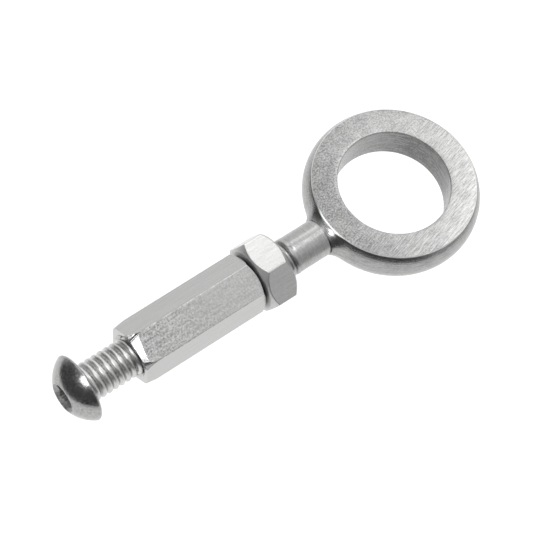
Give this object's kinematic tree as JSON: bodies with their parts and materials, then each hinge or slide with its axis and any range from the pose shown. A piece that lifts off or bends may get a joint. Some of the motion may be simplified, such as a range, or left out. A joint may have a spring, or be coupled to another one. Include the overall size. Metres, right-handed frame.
{
  "type": "roof anchor",
  "caption": "Roof anchor: an eye on a threaded stem with a lock nut, in a long hexagon sleeve; a button-head screw clamps the roof sheet against the sleeve's end.",
  "frame": {"origin": "on the common axis of sleeve, stem and screw, in the plane of the sleeve's end face that bears on the roof sheet", "axes": "+X along the axis from the roof sheet to the eye, +Z normal to the eye's flat faces (the axis of its hole), +Y across the eye"},
  "size_m": [0.1203, 0.044, 0.0182],
  "materials": {
    "eye_steel": "satin stainless steel, turned stem and finely scratched flat faces",
    "sleeve_steel": "drawn stainless hexagon bar, faintly mottled",
    "nut_steel": "bright machined stainless steel",
    "screw_steel": "polished stainless steel head, rolled thread"
  },
  "bodies": {
    "sleeve": {"coupling_nut": "sleeve_steel"},
    "eye": {"eye_bolt": "eye_steel"},
    "lock_nut": {"lock_nut": "nut_steel"},
    "screw": {"button_head_screw": "screw_steel"}
  },
  "joints": [
    {"name": "eye_swivel", "type": "hinge", "parent": "sleeve", "child": "eye", "pos_m": [0.0375, 0, 0], "axis": [1, 0, 0], "range_deg": [-180, 180]},
    {"name": "nut_turn", "type": "hinge", "parent": "eye", "child": "lock_nut", "pos_m": [0.0394, 0, 0], "axis": [1, 0, 0], "range_deg": [0, 300]},
    {"name": "screw_travel", "type": "slide", "parent": "sleeve", "child": "screw", "axis": [1, 0, 0], "range_m": [-0.005, 0.009]}
  ]
}
